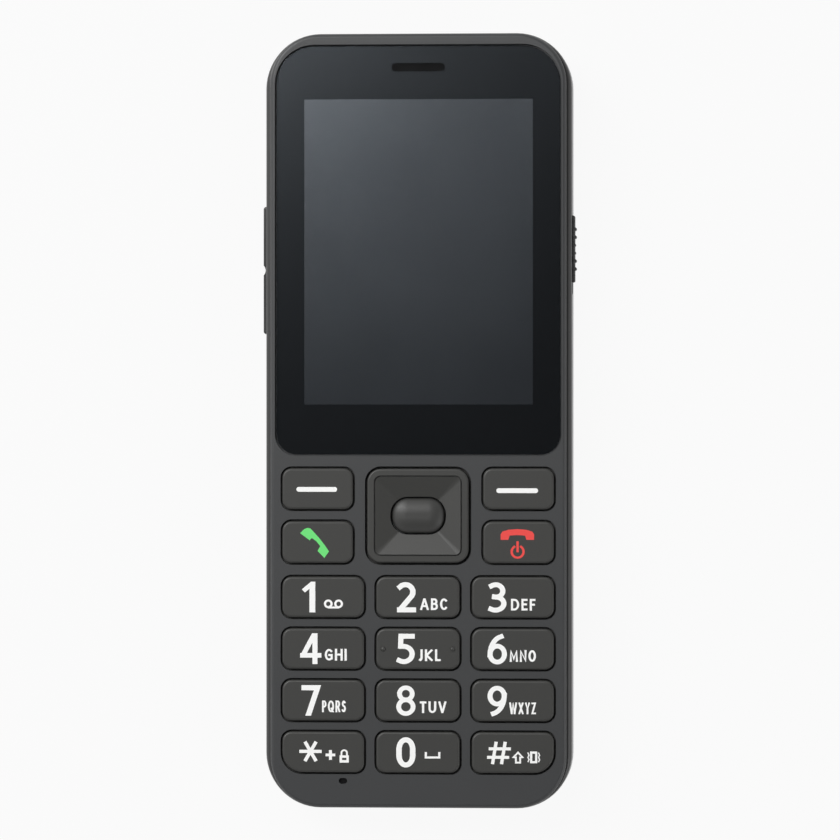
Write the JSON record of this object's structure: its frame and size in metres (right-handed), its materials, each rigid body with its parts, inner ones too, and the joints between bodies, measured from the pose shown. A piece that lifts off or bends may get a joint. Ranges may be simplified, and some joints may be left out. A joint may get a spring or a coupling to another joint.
{
  "type": "bar mobile phone",
  "caption": "Bar phone with a glass-fronted screen over large raised keys, a square navigation key, a side volume rocker, a ridged slide switch and a lift-off back cover.",
  "frame": {"origin": "centre of the flat back face of the back cover", "axes": "+Y along the phone towards the earpiece, +X to the right seen from the front, +Z out of the screen"},
  "size_m": [0.0593, 0.1462, 0.0144],
  "materials": {
    "front_shell": "fine-textured charcoal moulding with a satin rim",
    "frame_band": "satin dark charcoal moulding",
    "back_shell": "fine-grained dark charcoal moulding",
    "key_cap": "satin charcoal caps with printed white numbers",
    "nav_cap": "satin charcoal, brushed dish",
    "ok_cap": "polished charcoal crown",
    "side_key": "satin charcoal",
    "lens_glass": "clear cover glass over a dark border",
    "window_glass": "clear window",
    "tape": "black adhesive film and woven mesh",
    "foam": "black foam",
    "silicone": "translucent silicone",
    "display_glass": "dark liquid-crystal panel, off",
    "steel": "stamped and plated steel",
    "dome_steel": "snap domes on film",
    "board": "green solder mask over glass-fibre board",
    "chip": "black moulded housings",
    "can": "drawn metal can",
    "weight": "sintered tungsten weight",
    "flex": "amber polyimide film",
    "led": "white light-emitting diodes with yellow phosphor",
    "battery_wrap": "bare pale grey wrap, no label"
  },
  "bodies": {
    "phone": {"front_housing": "front_shell", "mid_frame": "frame_band", "display_lens": "lens_glass", "torch_light_pipe": "window_glass", "lens_tape": "tape", "earpiece_mesh": "tape", "display_gasket": "foam", "speaker_gasket": "foam", "keypad_mat": "silicone", "mic_boot": "silicone", "display_panel": "display_glass", "display_tray": "steel", "shield_cans": "steel", "screws": "steel", "usb_port": "steel", "sim_socket": "steel", "volume_switches": "steel", "slide_switch": "steel", "antenna": "steel", "dome_sheet": "dome_steel", "main_board": "board", "board_chips": "chip", "battery_contacts": "chip", "audio_jack": "chip", "antenna_carrier": "chip", "loudspeaker": "chip", "earpiece": "chip", "camera_module": "chip", "vibration_motor": "can", "microphone": "can", "display_flex": "flex", "keypad_leds": "led", "torch_led": "led", "battery": "battery_wrap"},
    "back_cover": {"back_cover": "back_shell", "camera_window": "window_glass"},
    "nav_pivot": {"nav_pivot": "chip"},
    "nav_key": {"nav_key": "nav_cap"},
    "ok_key": {"ok_key": "ok_cap"},
    "volume_rocker": {"volume_rocker": "side_key"},
    "slide_knob": {"slide_knob": "side_key", "slide_actuator": "chip"},
    "vibration_weight": {"vibration_weight": "weight"},
    "soft_key_left": {"soft_key_left": "key_cap"},
    "soft_key_right": {"soft_key_right": "key_cap"},
    "call_key": {"call_key": "key_cap"},
    "end_key": {"end_key": "key_cap"},
    "key_1": {"key_1": "key_cap"},
    "key_2": {"key_2": "key_cap"},
    "key_3": {"key_3": "key_cap"},
    "key_4": {"key_4": "key_cap"},
    "key_5": {"key_5": "key_cap"},
    "key_6": {"key_6": "key_cap"},
    "key_7": {"key_7": "key_cap"},
    "key_8": {"key_8": "key_cap"},
    "key_9": {"key_9": "key_cap"},
    "key_star": {"key_star": "key_cap"},
    "key_0": {"key_0": "key_cap"},
    "key_hash": {"key_hash": "key_cap"}
  },
  "joints": [
    {"name": "soft_key_left_press", "type": "slide", "parent": "phone", "child": "soft_key_left", "axis": [0, 0, -1], "range_m": [0, 0.0004], "stiffness_N_per_m": 1500, "deforming": ["keypad_mat"]},
    {"name": "soft_key_right_press", "type": "slide", "parent": "phone", "child": "soft_key_right", "axis": [0, 0, -1], "range_m": [0, 0.0004], "stiffness_N_per_m": 1500, "deforming": ["keypad_mat"]},
    {"name": "call_key_press", "type": "slide", "parent": "phone", "child": "call_key", "axis": [0, 0, -1], "range_m": [0, 0.0004], "stiffness_N_per_m": 1500, "deforming": ["keypad_mat"]},
    {"name": "end_key_press", "type": "slide", "parent": "phone", "child": "end_key", "axis": [0, 0, -1], "range_m": [0, 0.0004], "stiffness_N_per_m": 1500, "deforming": ["keypad_mat"]},
    {"name": "key_1_press", "type": "slide", "parent": "phone", "child": "key_1", "axis": [0, 0, -1], "range_m": [0, 0.0004], "stiffness_N_per_m": 1500, "deforming": ["keypad_mat"]},
    {"name": "key_2_press", "type": "slide", "parent": "phone", "child": "key_2", "axis": [0, 0, -1], "range_m": [0, 0.0004], "stiffness_N_per_m": 1500, "deforming": ["keypad_mat"]},
    {"name": "key_3_press", "type": "slide", "parent": "phone", "child": "key_3", "axis": [0, 0, -1], "range_m": [0, 0.0004], "stiffness_N_per_m": 1500, "deforming": ["keypad_mat"]},
    {"name": "key_4_press", "type": "slide", "parent": "phone", "child": "key_4", "axis": [0, 0, -1], "range_m": [0, 0.0004], "stiffness_N_per_m": 1500, "deforming": ["keypad_mat"]},
    {"name": "key_5_press", "type": "slide", "parent": "phone", "child": "key_5", "axis": [0, 0, -1], "range_m": [0, 0.0004], "stiffness_N_per_m": 1500, "deforming": ["keypad_mat"]},
    {"name": "key_6_press", "type": "slide", "parent": "phone", "child": "key_6", "axis": [0, 0, -1], "range_m": [0, 0.0004], "stiffness_N_per_m": 1500, "deforming": ["keypad_mat"]},
    {"name": "key_7_press", "type": "slide", "parent": "phone", "child": "key_7", "axis": [0, 0, -1], "range_m": [0, 0.0004], "stiffness_N_per_m": 1500, "deforming": ["keypad_mat"]},
    {"name": "key_8_press", "type": "slide", "parent": "phone", "child": "key_8", "axis": [0, 0, -1], "range_m": [0, 0.0004], "stiffness_N_per_m": 1500, "deforming": ["keypad_mat"]},
    {"name": "key_9_press", "type": "slide", "parent": "phone", "child": "key_9", "axis": [0, 0, -1], "range_m": [0, 0.0004], "stiffness_N_per_m": 1500, "deforming": ["keypad_mat"]},
    {"name": "key_star_press", "type": "slide", "parent": "phone", "child": "key_star", "axis": [0, 0, -1], "range_m": [0, 0.0004], "stiffness_N_per_m": 1500, "deforming": ["keypad_mat"]},
    {"name": "key_0_press", "type": "slide", "parent": "phone", "child": "key_0", "axis": [0, 0, -1], "range_m": [0, 0.0004], "stiffness_N_per_m": 1500, "deforming": ["keypad_mat"]},
    {"name": "key_hash_press", "type": "slide", "parent": "phone", "child": "key_hash", "axis": [0, 0, -1], "range_m": [0, 0.0004], "stiffness_N_per_m": 1500, "deforming": ["keypad_mat"]},
    {"name": "ok_key_press", "type": "slide", "parent": "phone", "child": "ok_key", "axis": [0, 0, -1], "range_m": [0, 0.0004], "stiffness_N_per_m": 1500, "deforming": ["keypad_mat"]},
    {"name": "nav_tilt_up_down", "type": "hinge", "parent": "phone", "child": "nav_pivot", "pos_m": [0, -0.01796, 0.0112], "axis": [1, 0, 0], "range_deg": [-1.2, 1.2], "stiffness_Nm_per_rad": 0.46, "deforming": ["keypad_mat"]},
    {"name": "nav_tilt_left_right", "type": "hinge", "parent": "nav_pivot", "child": "nav_key", "pos_m": [0, -0.01796, 0.0112], "axis": [0, 1, 0], "range_deg": [-1.2, 1.2], "stiffness_Nm_per_rad": 0.46, "deforming": ["keypad_mat"]},
    {"name": "volume_rocker_tilt", "type": "hinge", "parent": "phone", "child": "volume_rocker", "pos_m": [-0.02607, 0.02846, 0.009], "axis": [0, 0, 1], "range_deg": [-1.2, 1.2], "stiffness_Nm_per_rad": 0.6},
    {"name": "slide_knob_slide", "type": "slide", "parent": "phone", "child": "slide_knob", "axis": [0, -1, 0], "range_m": [0, 0.002]},
    {"name": "back_cover_lift_off", "type": "slide", "parent": "phone", "child": "back_cover", "axis": [0, 0, -1], "range_m": [0, 0.02]},
    {"name": "vibration_weight_spin", "type": "hinge", "parent": "phone", "child": "vibration_weight", "pos_m": [-0.0109, -0.0499, 0.00465], "axis": [1, 0, 0], "continuous": true}
  ]
}
